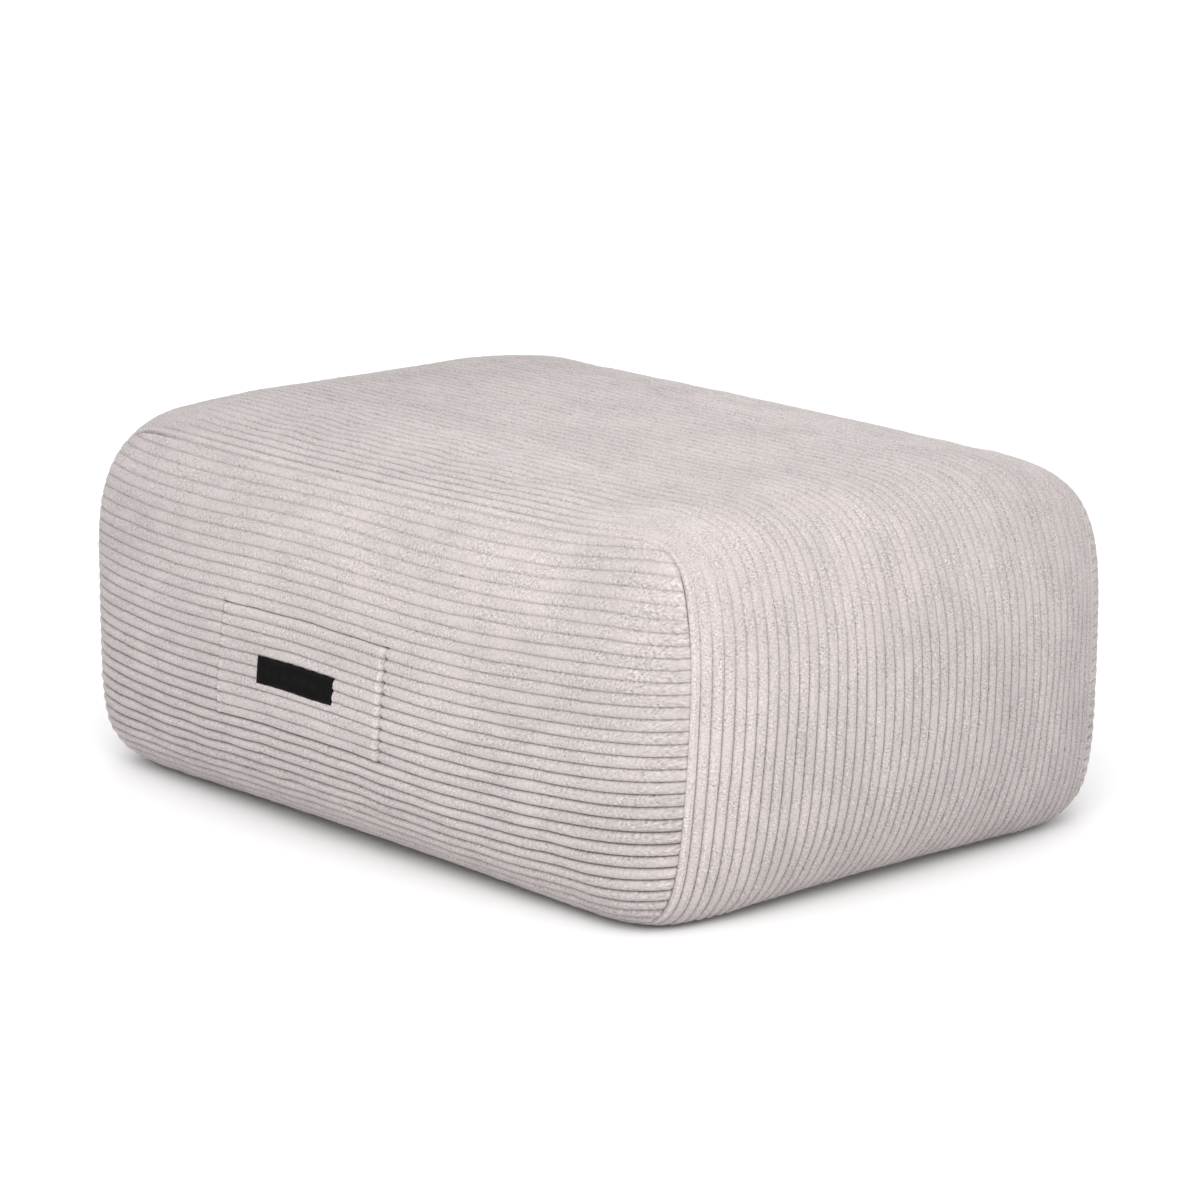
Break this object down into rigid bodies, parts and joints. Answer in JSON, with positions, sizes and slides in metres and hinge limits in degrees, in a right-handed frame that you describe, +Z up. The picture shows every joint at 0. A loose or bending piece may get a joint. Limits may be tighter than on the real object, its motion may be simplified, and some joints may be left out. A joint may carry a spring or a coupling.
{
  "type": "bean bag footstool",
  "caption": "Rounded rectangular bean-filled footstool in wide-wale cord, with a patch pocket and a small sewn label on its long front side.",
  "frame": {"origin": "middle of the bounding box, on the floor that the base rests on", "axes": "+X along the length, -Y out of the long side with the pocket, +Z up"},
  "size_m": [0.7098, 0.5482, 0.2866],
  "materials": {
    "cord_cloth": "pale warm grey jumbo cord with a soft velvety pile",
    "label_black": "black embossed label, low sheen"
  },
  "bodies": {
    "root": {"filled_body": "cord_cloth", "pocket": "cord_cloth", "label": "label_black"}
  },
  "joints": []
}
